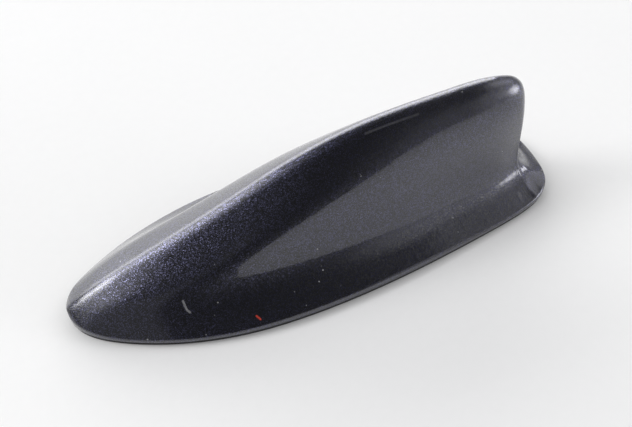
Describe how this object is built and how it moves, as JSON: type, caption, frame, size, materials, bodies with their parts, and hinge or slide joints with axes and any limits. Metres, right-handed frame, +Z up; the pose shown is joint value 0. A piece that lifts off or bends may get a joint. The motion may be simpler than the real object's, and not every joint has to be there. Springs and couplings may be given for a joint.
{
  "type": "roof antenna",
  "caption": "Shark-fin roof antenna: a painted hollow fin cover over a cast base plate with boards, coil and folded top element, on a black rubber pad.",
  "frame": {"origin": "middle of the pad's footprint, on the roof face the pad rests on", "axes": "+X towards the nose of the fin, +Y to the left seen from behind, +Z up from the roof"},
  "size_m": [0.172, 0.0598, 0.0498],
  "materials": {
    "cover_paint": "near-black navy metallic paint under clear coat",
    "pad_rubber": "matt black moulded rubber",
    "cast_base": "as die-cast",
    "seal_foam": "closed-cell foam",
    "gland_rubber": "matt",
    "board_green": "solder resist, satin",
    "tinned_sheet": "tinned sheet, satin",
    "patch_block": "fired and ground, dull",
    "silver_face": "fired silver, dull",
    "socket_plastic": "moulded",
    "former_plastic": "moulded",
    "coil_wire": "enamelled wire",
    "holder_plastic": "moulded",
    "leaf_spring": "rolled strip",
    "screw_steel": "zinc plated"
  },
  "bodies": {
    "root": {"fin_cover": "cover_paint", "rubber_pad": "pad_rubber", "base_plate": "cast_base", "boss_seal": "seal_foam", "cable_gland": "gland_rubber", "main_board": "board_green", "shield_can": "tinned_sheet", "patch_tray": "tinned_sheet", "patch_board": "board_green", "patch_ceramic": "patch_block", "patch_electrode": "silver_face", "coax_sockets": "socket_plastic", "coil_former": "former_plastic", "loading_coil": "coil_wire", "element_holder": "holder_plastic", "top_element": "tinned_sheet", "feed_leaf": "leaf_spring", "anti_rattle_foam": "seal_foam", "cover_screws": "screw_steel", "board_screws": "screw_steel", "holder_screw": "screw_steel"}
  },
  "joints": []
}
